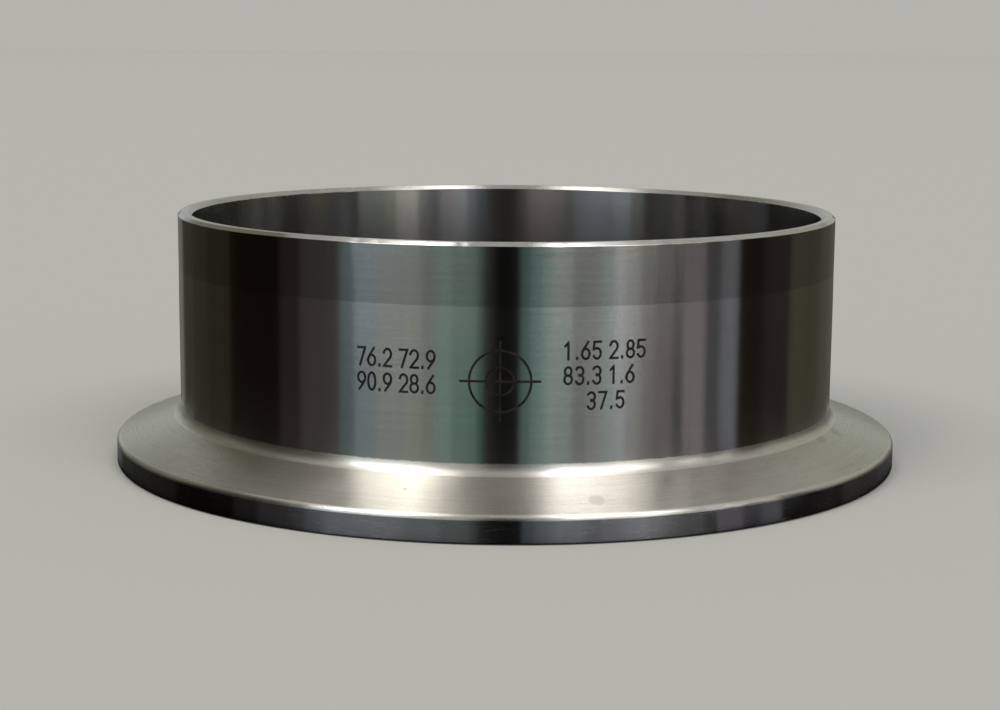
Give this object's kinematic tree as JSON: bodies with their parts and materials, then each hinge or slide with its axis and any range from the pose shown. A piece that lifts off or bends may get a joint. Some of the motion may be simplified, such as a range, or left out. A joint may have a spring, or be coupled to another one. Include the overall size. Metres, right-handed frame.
{
  "type": "pipe flange adapter",
  "caption": "Turned stainless weld ferrule: a thin-walled tube stub rising from a tapered clamp flange with a round gasket groove in its mating face.",
  "frame": {"origin": "centre of the flange's mating face, where the bore axis meets the surface that the ferrule stands on", "axes": "+Z along the bore axis, from the mating face towards the weld end; -Y faces the picture's camera"},
  "size_m": [0.0909, 0.091, 0.0286],
  "materials": {
    "stainless": "turned and lightly brushed stainless steel, satin on the taper"
  },
  "bodies": {
    "root": {"clamp_ferrule": "stainless"}
  },
  "joints": []
}
